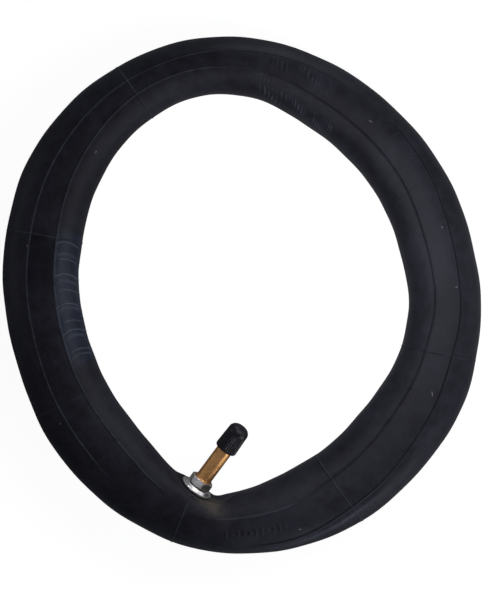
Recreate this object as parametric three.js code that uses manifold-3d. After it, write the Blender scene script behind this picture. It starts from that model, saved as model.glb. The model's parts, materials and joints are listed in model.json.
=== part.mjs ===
// An inner tube for a small wheel, part inflated and lying on its side, with a clamp-in
// Schrader valve in its inner wall. Millimetres, +Z up. The tube rests on the plane z = 0,
// and the origin is under the middle of the whole object's plan.
import * as THREE from "three";
import { mergeVertices } from "three/addons/utils/BufferGeometryUtils.js";
import Module from "manifold-3d";

const wasm = await Module();
wasm.setup();

// The ring. A soft tube never lies as a true circle: it bulges and narrows, and it is
// pinched where the stiff valve is. Each row is a direction from the middle in degrees,
// the centre line's radius and the tube's width there.
const RING = [
  [0, 98.4, 35.0],
  [30, 98.0, 34.6],
  [50, 100.1, 34.0],
  [70, 104.8, 32.4],
  [85, 109.8, 28.8],
  [100, 112.6, 27.8],
  [115, 112.0, 29.9],
  [130, 109.1, 33.3],
  [150, 104.1, 36.8],
  [175, 98.2, 36.9],
  [200, 96.2, 37.4],
  [220, 98.6, 38.6],
  [238, 103.1, 36.6],
  [249, 107.2, 32.2],
  [260, 111.5, 27.6],
  [271, 109.8, 31.5],
  [285, 106.6, 37.0],
  [305, 102.9, 39.8],
  [330, 100.4, 39.9],
  [345, 99.2, 37.0],
];
const STEPS_PER_ROW = 3;
const MEAN_WIDTH = 35;
const MEAN_HALF_HEIGHT = 18.2;
const HEIGHT_PER_WIDTH = -0.2; // a squeezed section stands taller
const FLOOR_SHARE = 0.93; // the floor cuts the section off here, as a share of its half height
const OUTER_SIDES = 20;
const CAVITY_SIDES = 12;
const WALL = 1.8;

// The valve. Its seat is the middle of the face that the washer presses on.
const VALVE_SEAT = [-22.8, -94.1, 22.6];
const VALVE_HEADING = 53.5; // degrees from +X, in plan
const VALVE_RISE = 16; // degrees above the plane that the tube lies in
const REST_GAP = 0.3; // between faces that rest on each other
const THREAD_GAP = 0.2; // round each screw thread
const CORE_GAP = 0.1; // between the small turned pieces of the core
const TURNED_SIDES = 28; // of a turned piece of the stem's size
const CORE_SIDES = 18;

// The rubber round the valve hole.
const SEAT_R = 9.3;
const SEAT_FLARE_R = 12;
const SEAT_FLARE_DEPTH = 6;
const SEAT_WALL = 2.2;
const HOLE_R = 4.6;
const PAD_R = 10.8;
const PAD_FACE = -5.4; // the pad's flat face, which the stem's foot pulls against

// The stem, with heights along the valve's axis from the seat.
const FOOT_R = 7.5;
const FOOT_TOP = PAD_FACE - REST_GAP;
const FOOT_BOTTOM = FOOT_TOP - 1.5;
const BASE_THREAD_R = 4.3;
const BASE_THREAD_TOP = 6.9;
const STEM_R = 4;
const TIP_THREAD_R = 3.85;
const TIP_THREAD_START = 27.3;
const STEM_TIP = 35.6;
const PLUG_BORE_R = 2.75;
const PLUG_BORE_DEPTH = 6;
const CORE_BORE_R = 2.25;
const CONE_DEPTH = 8.6;
const CORE_BORE_DEPTH = 18.5;
const AIR_BORE_R = 1.5;

// The clamp.
const WASHER_R = 8.2;
const WASHER_BOTTOM = REST_GAP;
const WASHER_LIP = 1.2;
const WASHER_TOP = 2.6;
const WASHER_THICK = 1.2;
const NUT_BOTTOM = WASHER_TOP + REST_GAP;
const NUT_HEIGHT = 4;
const NUT_FLATS = 10.6;
const NUT_CHAMFER = 0.45;
const NUT_TURN = 17; // degrees, as it was left when it was tightened

// The dust cap.
const CAP_MOUTH = 25.4;
const CAP_TOP = 39.9;
const CAP_BASE_R = 5.6;
const CAP_NECK_R = 5.2;
const CAP_SHOULDER = 36.4;
const CAP_BORE_R = TIP_THREAD_R + THREAD_GAP;
const CAP_COUNTERBORE_R = 4.4;
const CAP_COUNTERBORE_TOP = 28;
const CAP_CEILING = 37.1;
const FLUTES = 32;
const FLUTE_DEPTH = 0.3;
const SEAL_R = 3.7;
const SEAL_THICK = 0.9;

// The valve core, with depths below the stem's tip.
const PLUG_TOP = 0.9;
const PLUG_SHOULDER = 2.1;
const PLUG_BOTTOM = 5.7;
const PLUG_HOLE_R = 0.95;
const PLUG_SLOT = 1.9;
const BARREL_TOP = 5.9;
const BARREL_SHOULDER = 12.2;
const BARREL_BOTTOM = 13.4;
const PIN_R = 0.5;
const PIN_HEAD_R = 0.75;
const PIN_TOP = 0.4;
const PIN_RIVET_TOP = 15;
const PIN_BOTTOM = 15.4;
const KEEPER_TOP = 6.4;
const KEEPER_BOTTOM = 7;
const SPRING_TOP = 7.3;
const SPRING_BOTTOM = 11.9;
const SPRING_R = 0.88;
const SPRING_WIRE_R = 0.14;
const SPRING_TURNS = 5;
const CUP_BOTTOM = 14.9;
const CUP_R = 2;

const rubber = new THREE.MeshStandardMaterial({ color: 0x25252b, roughness: 0.62 });
const patchRubber = new THREE.MeshStandardMaterial({ color: 0x1c1c20, roughness: 0.75 });
const brass = new THREE.MeshStandardMaterial({ color: 0xb08050, roughness: 0.35, metalness: 1 });
const plated = new THREE.MeshStandardMaterial({ color: 0xc6c6cc, roughness: 0.25, metalness: 1 });
const steel = new THREE.MeshStandardMaterial({ color: 0x9a9aa0, roughness: 0.35, metalness: 1 });
const plastic = new THREE.MeshStandardMaterial({ color: 0x24222a, roughness: 0.55 });
const sealRubber = new THREE.MeshStandardMaterial({ color: 0x17171a, roughness: 0.8 });
const redSeal = new THREE.MeshStandardMaterial({ color: 0x8c2a22, roughness: 0.6 });

const radians = THREE.MathUtils.degToRad;

// A closed geometry as a manifold solid.
function solid(geometry) {
  const bare = geometry.clone();
  bare.deleteAttribute("normal");
  bare.deleteAttribute("uv");
  const merged = mergeVertices(bare, 1e-5);
  const index = Array.from(merged.index.array);
  const kept = [];
  for (let i = 0; i < index.length; i += 3) {
    const [a, b, c] = index.slice(i, i + 3);
    if (a !== b && b !== c && c !== a) {
      kept.push(a, b, c);
    }
  }
  const vertProperties = new Float32Array(merged.attributes.position.array);
  const triVerts = new Uint32Array(kept);
  return new wasm.Manifold(new wasm.Mesh({ numProp: 3, vertProperties, triVerts }));
}

// A manifold solid back as a geometry.
function geometryOf(body) {
  const mesh = body.getMesh();
  const geometry = new THREE.BufferGeometry();
  geometry.setAttribute("position", new THREE.BufferAttribute(mesh.vertProperties, 3));
  geometry.setIndex(new THREE.BufferAttribute(mesh.triVerts, 1));
  geometry.computeVertexNormals();
  return geometry;
}

// A piece turned about +Z. The profile is a list of [radius, height], taken up the outside.
function turned(profile, sides = TURNED_SIDES) {
  const points = profile.map(([radius, height]) => new THREE.Vector2(radius, height));
  const geometry = new THREE.LatheGeometry(points, sides);
  geometry.rotateX(Math.PI / 2);
  return geometry;
}

// A turned piece with a hole: the profile closes on itself.
function turnedRing(profile, sides = TURNED_SIDES) {
  return turned([...profile, profile[0]], sides);
}

function rod(radius, bottom, top, sides = TURNED_SIDES) {
  return turned([[0, bottom], [radius, bottom], [radius, top], [0, top]], sides);
}

// A height along the valve from a depth below the stem's tip.
function below(depth) {
  return STEM_TIP - depth;
}

function halfHeight(width) {
  return MEAN_HALF_HEIGHT + HEIGHT_PER_WIDTH * (width - MEAN_WIDTH);
}

// One section of the tube as [distance from the centre line, height]: an oval cut off by
// the floor, so the last edge is flat.
function section(width, inset, sides) {
  const across = width / 2 - inset;
  const up = halfHeight(width) - inset;
  const middle = FLOOR_SHARE * halfHeight(width);
  const start = -Math.asin((middle - inset) / up);
  const turn = Math.PI - 2 * start;
  const points = [];
  for (let i = 0; i <= sides; i += 1) {
    const angle = start + (turn * i) / sides;
    points.push([across * Math.cos(angle), middle + up * Math.sin(angle)]);
  }
  return points;
}

// The centre line in plan, with the tube's width there as its third coordinate.
function centreLine() {
  const points = RING.map(([direction, radius, width]) => {
    const angle = radians(direction);
    return new THREE.Vector3(radius * Math.cos(angle), radius * Math.sin(angle), width);
  });
  return new THREE.CatmullRomCurve3(points, true, "centripetal");
}

// The tube's skin, moved in by inset, as one closed geometry.
function ringSkin(inset, sides) {
  const line = centreLine();
  const rings = RING.length * STEPS_PER_ROW;
  const around = sides + 1;
  const positions = [];
  const index = [];
  for (let i = 0; i < rings; i += 1) {
    const { x, y, z: width } = line.getPoint(i / rings);
    const radius = Math.hypot(x, y);
    for (const [out, height] of section(width, inset, sides)) {
      const scale = (radius + out) / radius;
      positions.push(x * scale, y * scale, height);
    }
    const here = i * around;
    const next = ((i + 1) % rings) * around;
    for (let j = 0; j < around; j += 1) {
      const k = (j + 1) % around;
      index.push(here + j, next + j, next + k);
      index.push(here + j, next + k, here + k);
    }
  }
  const geometry = new THREE.BufferGeometry();
  geometry.setAttribute("position", new THREE.Float32BufferAttribute(positions, 3));
  geometry.setIndex(index);
  return geometry;
}

function valvePlace() {
  const heading = radians(VALVE_HEADING);
  const rise = radians(VALVE_RISE);
  const flat = Math.cos(rise);
  const axis = new THREE.Vector3(
    flat * Math.cos(heading),
    flat * Math.sin(heading),
    Math.sin(rise),
  );
  const side = new THREE.Vector3(Math.sin(heading), -Math.cos(heading), 0);
  const up = new THREE.Vector3().crossVectors(axis, side);
  const place = new THREE.Matrix4().makeBasis(side, up, axis);
  return place.setPosition(...VALVE_SEAT);
}

const place = valvePlace();

// A solid that is drawn along the valve's axis, moved to where the valve stands.
function atValve(geometry) {
  return solid(geometry.applyMatrix4(place));
}

// The hollow tube: a skin round a cavity, a flat seat for the washer, and the valve hole.
function tubeBody() {
  const seatFlare = atValve(turned([
    [0, -SEAT_FLARE_DEPTH],
    [SEAT_FLARE_R, -SEAT_FLARE_DEPTH],
    [SEAT_R, 0],
    [0, 0],
  ]));
  const overSeat = atValve(rod(SEAT_R + REST_GAP, 0, 2 * SEAT_R));
  const seatCore = atValve(rod(PAD_R + WALL, -SEAT_WALL, 2 * SEAT_R));
  const cavity = solid(ringSkin(WALL, CAVITY_SIDES)).subtract(seatCore);
  const hole = atValve(rod(HOLE_R, 2 * PAD_FACE, SEAT_R));
  const outside = solid(ringSkin(0, OUTER_SIDES)).add(seatFlare);
  return geometryOf(outside.subtract(overSeat).subtract(cavity).subtract(hole));
}

// The pad bonded inside the wall: round in front view, flat towards the stem's foot.
function valvePad() {
  const inside = solid(ringSkin(WALL + THREAD_GAP, CAVITY_SIDES));
  const block = atValve(rod(PAD_R, PAD_FACE, -SEAT_WALL - THREAD_GAP));
  const hole = atValve(rod(HOLE_R, 2 * PAD_FACE, SEAT_R));
  const back = new THREE.Matrix4().copy(place).invert();
  return geometryOf(inside.intersect(block).subtract(hole)).applyMatrix4(back);
}

// The brass stem: a foot inside the tube, two outside threads, and a stepped bore.
function valveStem() {
  const edge = 0.4;
  return turnedRing([
    [AIR_BORE_R, FOOT_BOTTOM],
    [FOOT_R - edge, FOOT_BOTTOM],
    [FOOT_R, FOOT_BOTTOM + edge],
    [FOOT_R, FOOT_TOP],
    [BASE_THREAD_R, FOOT_TOP],
    [BASE_THREAD_R, BASE_THREAD_TOP],
    [STEM_R, BASE_THREAD_TOP + 0.3],
    [STEM_R, TIP_THREAD_START],
    [TIP_THREAD_R, TIP_THREAD_START + 0.3],
    [TIP_THREAD_R, STEM_TIP - edge],
    [TIP_THREAD_R - edge, STEM_TIP],
    [PLUG_BORE_R + edge, STEM_TIP],
    [PLUG_BORE_R, STEM_TIP - edge],
    [PLUG_BORE_R, below(PLUG_BORE_DEPTH)],
    [CORE_BORE_R, below(CONE_DEPTH)],
    [CORE_BORE_R, below(CORE_BORE_DEPTH)],
    [AIR_BORE_R, below(CORE_BORE_DEPTH + 1)],
  ]);
}

// The bridge washer: a flat middle under the nut, a dished ring and a turned-up lip.
function bridgeWasher() {
  const inner = BASE_THREAD_R + THREAD_GAP;
  const flatR = 6.2; // wide enough for the nut's face
  const edge = 0.3;
  return turnedRing([
    [inner, WASHER_TOP - WASHER_THICK],
    [flatR - edge, WASHER_TOP - WASHER_THICK],
    [WASHER_R - 3 * edge, WASHER_BOTTOM],
    [WASHER_R - edge, WASHER_BOTTOM],
    [WASHER_R, WASHER_BOTTOM + edge],
    [WASHER_R, WASHER_LIP],
    [WASHER_R - edge, WASHER_LIP + edge],
    [WASHER_R - 3 * edge, WASHER_LIP],
    [flatR, WASHER_TOP],
    [inner, WASHER_TOP],
  ]);
}

// The hexagon nut, with its corners turned off at both ends.
function hexNut() {
  const corner = NUT_FLATS / 2 / Math.cos(Math.PI / 6);
  const top = NUT_BOTTOM + NUT_HEIGHT;
  const hexagon = rod(corner, NUT_BOTTOM, top, 6).rotateZ(radians(NUT_TURN));
  const chamfers = turned([
    [0, NUT_BOTTOM],
    [corner - 2 * NUT_CHAMFER, NUT_BOTTOM],
    [corner, NUT_BOTTOM + NUT_CHAMFER],
    [corner, top - NUT_CHAMFER],
    [corner - 2 * NUT_CHAMFER, top],
    [0, top],
  ], 48);
  const bore = rod(BASE_THREAD_R + THREAD_GAP, NUT_BOTTOM - 1, top + 1);
  return geometryOf(solid(hexagon).intersect(solid(chamfers)).subtract(solid(bore)));
}

// The dust cap: a tapered barrel with flutes for the fingers, closed by a dome.
function dustCap() {
  const dome = [];
  const domeSteps = 5;
  for (let i = 0; i <= domeSteps; i += 1) {
    const angle = (Math.PI / 2) * (i / domeSteps);
    const height = CAP_SHOULDER + (CAP_TOP - CAP_SHOULDER) * Math.sin(angle);
    dome.push([CAP_NECK_R * Math.cos(angle) ** 0.8, height]);
  }
  const geometry = turned([
    [0, CAP_CEILING],
    [CAP_BORE_R, CAP_CEILING],
    [CAP_BORE_R, CAP_COUNTERBORE_TOP + 0.3],
    [CAP_COUNTERBORE_R, CAP_COUNTERBORE_TOP],
    [CAP_COUNTERBORE_R, CAP_MOUTH],
    [CAP_BASE_R - 0.5, CAP_MOUTH],
    [CAP_BASE_R, CAP_MOUTH + 0.7],
    ...dome,
  ], 2 * FLUTES);
  const position = geometry.attributes.position;
  const point = new THREE.Vector3();
  for (let i = 0; i < position.count; i += 1) {
    point.fromBufferAttribute(position, i);
    const radius = Math.hypot(point.x, point.y);
    const side = Math.round((Math.atan2(point.y, point.x) / Math.PI) * FLUTES);
    if (radius > CAP_NECK_R - 0.01 && side % 2 !== 0) {
      point.multiply(new THREE.Vector3(1 - FLUTE_DEPTH / radius, 1 - FLUTE_DEPTH / radius, 1));
      position.setXYZ(i, point.x, point.y, point.z);
    }
  }
  return geometry;
}

// The soft disc in the cap's ceiling.
function capSeal() {
  return rod(SEAL_R, STEM_TIP + REST_GAP, STEM_TIP + REST_GAP + SEAL_THICK, CORE_SIDES);
}

// The core's screwed plug, with two lugs on top for the core tool.
function corePlug() {
  const threadR = PLUG_BORE_R - THREAD_GAP;
  const turnedPlug = turnedRing([
    [PLUG_HOLE_R, below(PLUG_BOTTOM)],
    [threadR, below(PLUG_BOTTOM)],
    [threadR, below(PLUG_SHOULDER)],
    [threadR - 0.3, below(PLUG_TOP)],
    [PLUG_HOLE_R, below(PLUG_TOP)],
  ], CORE_SIDES);
  const away = new THREE.BoxGeometry(2 * threadR, threadR, 2 * (PLUG_SHOULDER - PLUG_TOP));
  const offset = (PLUG_SLOT + threadR) / 2;
  const front = away.clone().translate(0, offset, below(PLUG_TOP));
  const back = away.clone().translate(0, -offset, below(PLUG_TOP));
  return geometryOf(solid(turnedPlug).subtract(solid(front)).subtract(solid(back)));
}

// The core's barrel: a groove for its seal outside, and a shoulder for the spring inside.
function coreBarrel() {
  const springBoreR = 1.25;
  const pinBoreR = 0.85;
  return turnedRing([
    [pinBoreR, below(BARREL_BOTTOM)],
    [1.6, below(BARREL_BOTTOM)],
    [1.6, below(9.1)],
    [2.0, below(9)],
    [2.0, below(8.5)],
    [1.7, below(8.4)],
    [1.7, below(6.5)],
    [2.2, below(6.4)],
    [2.2, below(BARREL_TOP)],
    [springBoreR, below(BARREL_TOP)],
    [springBoreR, below(BARREL_SHOULDER)],
    [pinBoreR, below(BARREL_SHOULDER)],
  ], CORE_SIDES);
}

// The tapered seal in the barrel's groove, which the plug drives into the stem's cone.
function barrelSeal() {
  return turnedRing([
    [1.8, below(8.2)],
    [2.2, below(8.2)],
    [2.5, below(6.7)],
    [1.8, below(6.7)],
  ], CORE_SIDES);
}

// The pin: a head to press at the top and a rivet that holds the cup at the bottom.
function corePin() {
  const rivetR = 0.85;
  return turned([
    [0, below(PIN_BOTTOM)],
    [rivetR - 0.2, below(PIN_BOTTOM)],
    [rivetR, below(PIN_RIVET_TOP)],
    [PIN_R, below(PIN_RIVET_TOP)],
    [PIN_R, below(PIN_TOP + 0.8)],
    [PIN_HEAD_R, below(PIN_TOP + 0.6)],
    [PIN_HEAD_R, below(PIN_TOP + 0.2)],
    [PIN_HEAD_R - 0.2, below(PIN_TOP)],
    [0, below(PIN_TOP)],
  ], 12);
}

// The collar on the pin that the spring pushes up.
function springKeeper() {
  return turnedRing([
    [PIN_R + CORE_GAP, below(KEEPER_BOTTOM)],
    [1.1, below(KEEPER_BOTTOM)],
    [1.1, below(KEEPER_TOP)],
    [PIN_R + CORE_GAP, below(KEEPER_TOP)],
  ], 16);
}

// The centre line of a coil spring round +Z.
class Helix extends THREE.Curve {
  getPoint(share, target = new THREE.Vector3()) {
    const angle = 2 * Math.PI * SPRING_TURNS * share;
    const depth = SPRING_BOTTOM + (SPRING_TOP - SPRING_BOTTOM) * share;
    return target.set(SPRING_R * Math.cos(angle), SPRING_R * Math.sin(angle), below(depth));
  }
}

function coreSpring() {
  const wire = new THREE.Shape().absarc(0, 0, SPRING_WIRE_R, 0, 2 * Math.PI);
  return new THREE.ExtrudeGeometry(wire, {
    steps: 10 * SPRING_TURNS,
    curveSegments: 3,
    extrudePath: new Helix(),
  });
}

// The cup under the barrel, and the soft ring it presses on the barrel's end.
function seatCup() {
  return turnedRing([
    [PIN_R + CORE_GAP, below(CUP_BOTTOM)],
    [CUP_R - 0.2, below(CUP_BOTTOM)],
    [CUP_R, below(CUP_BOTTOM - 0.3)],
    [CUP_R, below(BARREL_BOTTOM + 0.3)],
    [CUP_R - 0.2, below(BARREL_BOTTOM + 0.3)],
    [CUP_R - 0.2, below(CUP_BOTTOM - 0.5)],
    [PIN_R + CORE_GAP, below(CUP_BOTTOM - 0.5)],
  ], CORE_SIDES);
}

function seatSeal() {
  return turnedRing([
    [PIN_R + CORE_GAP, below(CUP_BOTTOM - 0.6)],
    [CUP_R - 0.3, below(CUP_BOTTOM - 0.6)],
    [CUP_R - 0.3, below(BARREL_BOTTOM + CORE_GAP)],
    [PIN_R + CORE_GAP, below(BARREL_BOTTOM + CORE_GAP)],
  ], CORE_SIDES);
}

function piece(name, geometry, material) {
  const mesh = new THREE.Mesh(geometry, material);
  mesh.name = name;
  return mesh;
}

const valve = new THREE.Group();
place.decompose(valve.position, valve.quaternion, valve.scale);
valve.add(
  piece("valve_pad", valvePad(), patchRubber),
  piece("valve_stem", valveStem(), brass),
  piece("bridge_washer", bridgeWasher(), plated),
  piece("hex_nut", hexNut(), plated),
  piece("dust_cap", dustCap(), plastic),
  piece("cap_seal", capSeal(), sealRubber),
  piece("core_plug", corePlug(), brass),
  piece("core_barrel", coreBarrel(), brass),
  piece("barrel_seal", barrelSeal(), redSeal),
  piece("core_pin", corePin(), steel),
  piece("spring_keeper", springKeeper(), steel),
  piece("core_spring", coreSpring(), steel),
  piece("seat_cup", seatCup(), brass),
  piece("seat_seal", seatSeal(), sealRubber),
);

const tube = new THREE.Group();
tube.add(piece("tube_body", tubeBody(), rubber), valve);
const middle = new THREE.Box3().setFromObject(tube).getCenter(new THREE.Vector3());
tube.position.set(-middle.x, -middle.y, 0);

export default tube;
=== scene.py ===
"""A small wheel's inner tube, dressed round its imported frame: a hollow rubber ring with moulded
ribs and wrinkles, and a clamp-in Schrader valve with its washer, nut and ribbed dust cap.

Shapes are worked out in millimetres and become metres when a mesh is made; the lights and
the camera are in metres. Directions round the ring are in degrees from +X. Round the tube's
section an angle of 0 faces away from the ring's middle and 90 faces up."""

import json
import math

import bmesh
import bpy
import numpy as np
from mathutils import Matrix, Vector


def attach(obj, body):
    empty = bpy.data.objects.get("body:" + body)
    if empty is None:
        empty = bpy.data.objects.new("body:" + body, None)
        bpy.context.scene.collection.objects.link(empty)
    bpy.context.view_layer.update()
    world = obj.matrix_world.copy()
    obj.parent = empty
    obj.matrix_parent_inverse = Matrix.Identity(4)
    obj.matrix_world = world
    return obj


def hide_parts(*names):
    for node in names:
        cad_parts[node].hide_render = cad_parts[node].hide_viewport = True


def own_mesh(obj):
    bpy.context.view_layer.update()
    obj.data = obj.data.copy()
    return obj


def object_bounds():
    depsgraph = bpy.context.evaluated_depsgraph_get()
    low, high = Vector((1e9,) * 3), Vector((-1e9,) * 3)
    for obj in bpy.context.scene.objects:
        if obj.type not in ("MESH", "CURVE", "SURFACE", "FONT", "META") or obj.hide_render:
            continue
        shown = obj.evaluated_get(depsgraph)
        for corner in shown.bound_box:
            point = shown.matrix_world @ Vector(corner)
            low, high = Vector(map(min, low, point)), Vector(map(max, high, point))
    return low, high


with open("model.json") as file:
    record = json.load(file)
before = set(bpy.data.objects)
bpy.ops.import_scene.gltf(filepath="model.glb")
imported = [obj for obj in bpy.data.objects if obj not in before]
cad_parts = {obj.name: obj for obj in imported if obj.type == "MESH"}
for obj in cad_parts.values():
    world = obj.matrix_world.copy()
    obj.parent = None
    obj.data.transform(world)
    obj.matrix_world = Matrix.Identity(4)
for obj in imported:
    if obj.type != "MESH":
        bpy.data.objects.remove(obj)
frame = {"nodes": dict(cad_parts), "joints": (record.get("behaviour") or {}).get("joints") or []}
CAD_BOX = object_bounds()
MM = 0.001

# ---------------- driving dimensions

# The tube. MEAN_RADIUS turns degrees round the ring into lengths. FLOOR_SHARE is where the
# floor cuts a section off, as a share of its half height, and FLOOR_BLEND how softly.
MEAN_RADIUS = 104
FLOOR_SHARE = 0.93
FLOOR_BLEND = 0.35
WALL = 1.8
CAVITY_STEPS = (2, 12)  # degrees round the ring and round the section
FULLNESS = 2.6  # how square the soft tube's section is: 2 is an ellipse
RIB_ANGLE = 21  # from the crown, to the moulded line on either side
RIB_HEIGHT = 0.34
RIB_WIDTH = 0.23
RIB_ROWS = (0, 0.7, 1.4, 2.3, 3.6)  # degrees either side of a moulded line
SINK = 0.02  # how far the skin's flat foot is let down to meet the floor
DETAIL_RISE = (0.6, 4)  # heights between which the moulding comes in, above the flat foot

# The skin's grid: rows round the section and columns round the ring, in degrees.
SECTION_STEP = 4.5
FLOOR_STEP = 9
FLOOR_ROWS = (205, 340)  # section angles between which the skin faces the floor
PUCKER_ROWS = (118, 175, 2.25)  # from, to, step
ROW_GAP = 1.2  # left clear beyond the rows of a line
COLUMN_STEP = 1.2
FINE_STRETCHES = ((60, 92, 0.16), (246, 264, 0.4), (264, 283, 0.16))  # from, to, step
CROSS_COLUMNS = (0, 0.1, 0.2, 0.34, 0.55)  # either side of a cross line
COLUMN_GAP = 0.15  # left clear beyond the columns of a cross line

# How the tube twists along its length, and how far apart its two moulded lines lie, as rows
# of direction and the section angles of the inner and of the outer line.
MOULDED_LINES = (
    (0, 107, 67), (27, 104, 60), (48, 100, 54), (68, 99, 52), (90, 96, 59),
    (110, 96, 66), (130, 102, 68), (157, 110, 70), (180, 111, 69), (205, 112, 69),
    (228, 114, 68), (248, 108, 58), (262, 101, 46), (274, 99, 43), (285, 100, 46),
    (297, 108, 55), (310, 110, 61), (324, 112, 68), (340, 112, 72), (350, 110, 69),
)
# Where the outer and inner lines all but vanish near the valve: from, to, how softly.
OUTER_GAP = (236, 259, 10)
INNER_GAP = (249, 262, 6)
GAP_FADE = 0.9
# Moulded lines across the tube: direction, degrees of slant per millimetre outwards, and
# height in millimetres.
CROSS_LINES = (
    (32, 0.05, 0.1), (75, 0.0, 0.05), (117.8, 0.07, 0.3), (163.2, 0.07, 0.32),
    (211.6, -0.05, 0.12), (254.8, -0.06, 0.28), (296.4, 0.09, 0.3), (343.5, 0.05, 0.3),
)
CROSS_WIDTH = 0.19
CROSS_REACH = (20, 185, 25)  # section angles from and to, and how softly they end
LEAN_FADE = 5  # degrees over which the columns beside a slanted line straighten up

# The raised dashes of the moulded label, which lie along the crown.
LABEL_FROM = 265.4
LABEL_TO = 281.4
LABEL_BARS = 11
LABEL_HALF = 4.4  # degrees of the section that a long dash reaches either side
SHORT_DASH = 0.55  # the share of that for every third dash
DASH_SPAN = (0.3, 0.6, 0.12)  # a dash's part of its space: from, to, how softly
LABEL_HEIGHT = 0.26
LABEL_ROWS = (0, 1.6, 2.4, 3.2, 4.1, 5)  # degrees either side of the crown
LABEL_GAP = 1  # left clear beyond them

# The valve's seat in the rubber.
SEAT_FLAT = 9.2
SEAT_FADE = 17.5
SEAT_LEVEL = 0.12
SEAT_DEPTH = 15
SEAT_ROLL = (0.55, 11.6, 1.5)  # the roll of rubber round the washer: height, radius, width
SEAT_DIP = (-0.25, 8.8, 0.8)  # the dip under the washer's edge, likewise
HOLE_R = 4.55
HOLE_SIDES = 64
HOLE_SPAN = (-15.6, 6.0)  # from inside the tube to above the seat

# The valve's turned pieces. A thread's radius is to its crests, on a bolt and in a hole.
PITCH = 0.794
STEM_R = 4.0
BASE_THREAD_R = 4.3
BASE_THREAD_DEPTH = 0.34
TIP_THREAD_R = 3.85
TIP_THREAD_DEPTH = 0.38
AIR_HOLE_R = 1.5
CORE_THREAD_R = 2.75
CORE_SEAT_R = 2.25
FOOT_HEIGHT = 1.5
CLAMP_HOLE_R = 4.5  # the bore of the nut and of the washer
NUT_CORNER_AT = -73  # degrees round the valve
CAP_HOLE_R = 4.05
CAP_END_R = 5.2
CAP_DOME = 3.6
FLUTES = 32
FLUTE_DEPTH = 0.3

# ---------------- places from the frame


def vertices(piece):
    """A piece's vertices in millimetres."""
    mesh = piece.data
    co = np.empty(len(mesh.vertices) * 3)
    mesh.vertices.foreach_get("co", co)
    return co.reshape(-1, 3) / MM


def valve_place():
    """The valve's own frame: +Z out along the stem from the seat, +X level with the floor."""
    joint = next(j for j in frame["joints"] if j["name"] == "nut_turn")
    axis = Vector(joint["axis"]).normalized()
    side = axis.cross(Vector((0, 0, 1))).normalized()
    under = axis.cross(side)
    place = Matrix((side, under, axis)).transposed().to_4x4()
    place.translation = Vector(joint["pos_m"])
    return place


VALVE = valve_place()
VALVE_AXES = np.array(VALVE.to_3x3())
SEAT = np.array(VALVE.translation) / MM


def in_valve(points):
    """Points in millimetres, seen in the valve's own frame."""
    return (points - SEAT) @ VALVE_AXES


def extent(node):
    """A valve piece's lowest and highest place along the valve, and its largest radius."""
    local = in_valve(vertices(frame["nodes"][node]))
    return local[:, 2].min(), local[:, 2].max(), np.hypot(local[:, 0], local[:, 1]).max()


FOOT_LOW, STEM_TIP, FOOT_R = extent("valve_stem")
WASHER_LOW, WASHER_TOP, WASHER_R = extent("bridge_washer")
NUT_LOW, NUT_TOP, NUT_CORNER = extent("hex_nut")
CAP_MOUTH, CAP_TOP, CAP_R = extent("dust_cap")
SEAL_LOW, SEAL_TOP, SEAL_R = extent("cap_seal")
SPRING_LOW, SPRING_TOP, SPRING_R = extent("core_spring")

# ---------------- small helpers


def periodic(at, places, values):
    """A smooth closed curve through values at places (degrees), read off at the angles at."""
    order = np.argsort(places)
    x = np.asarray(places, float)[order]
    y = np.asarray(values, float)[order]
    x = np.concatenate([x[-2:] - 360, x, x[:2] + 360])
    y = np.concatenate([y[-2:], y, y[:2]])
    step = np.diff(x)
    rise = np.diff(y) / step
    slope = (rise[:-1] * step[1:] + rise[1:] * step[:-1]) / (step[1:] + step[:-1])
    slope = np.concatenate([rise[:1], slope, rise[-1:]])
    at = (np.asarray(at, float) - x[1]) % 360 + x[1]
    k = np.clip(np.searchsorted(x, at, side="right") - 1, 0, len(x) - 2)
    h = step[k]
    t = (at - x[k]) / h
    return (
        y[k] * (1 + 2 * t) * (1 - t) ** 2
        + y[k + 1] * t * t * (3 - 2 * t)
        + h * slope[k] * t * (1 - t) ** 2
        - h * slope[k + 1] * t * t * (1 - t)
    )


def smooth_step(value, low, high):
    t = np.clip((value - low) / (high - low), 0, 1)
    return t * t * (3 - 2 * t)


def window(value, low, high, soft):
    """1 between low and high, fading to 0 over soft outside them."""
    return smooth_step(value, low - soft, low) * (1 - smooth_step(value, high, high + soft))


def bump(value, width):
    return np.exp(-0.5 * (value / width) ** 2)


def apart(direction, other):
    """The signed difference of two directions, in degrees."""
    return (direction - other + 180) % 360 - 180


def new_piece(name, points, faces, place=None):
    """A mesh object from points in millimetres, with its faces turned to point outwards."""
    mesh = bpy.data.meshes.new(name)
    mesh.from_pydata((np.asarray(points) * MM).tolist(), [], faces)
    bm = bmesh.new()
    bm.from_mesh(mesh)
    bmesh.ops.recalc_face_normals(bm, faces=bm.faces)
    bm.to_mesh(mesh)
    bm.free()
    piece = bpy.data.objects.new(name, mesh)
    if place is not None:
        piece.matrix_world = place
    bpy.context.scene.collection.objects.link(piece)
    return piece


def soften(piece, angle=35):
    """Smooth shading, with edges sharper than angle left crisp."""
    piece.data.shade_smooth()
    piece.data.set_sharp_from_angle(angle=math.radians(angle))


def grid_faces(rows, sides, close_rows):
    """Quads of a grid whose sides wrap round, and whose rows do too if close_rows."""
    faces = []
    for i in range(rows if close_rows else rows - 1):
        here = i * sides
        there = (i + 1) % rows * sides
        for j in range(sides):
            k = (j + 1) % sides
            faces.append((here + j, there + j, there + k, here + k))
    return faces


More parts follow.
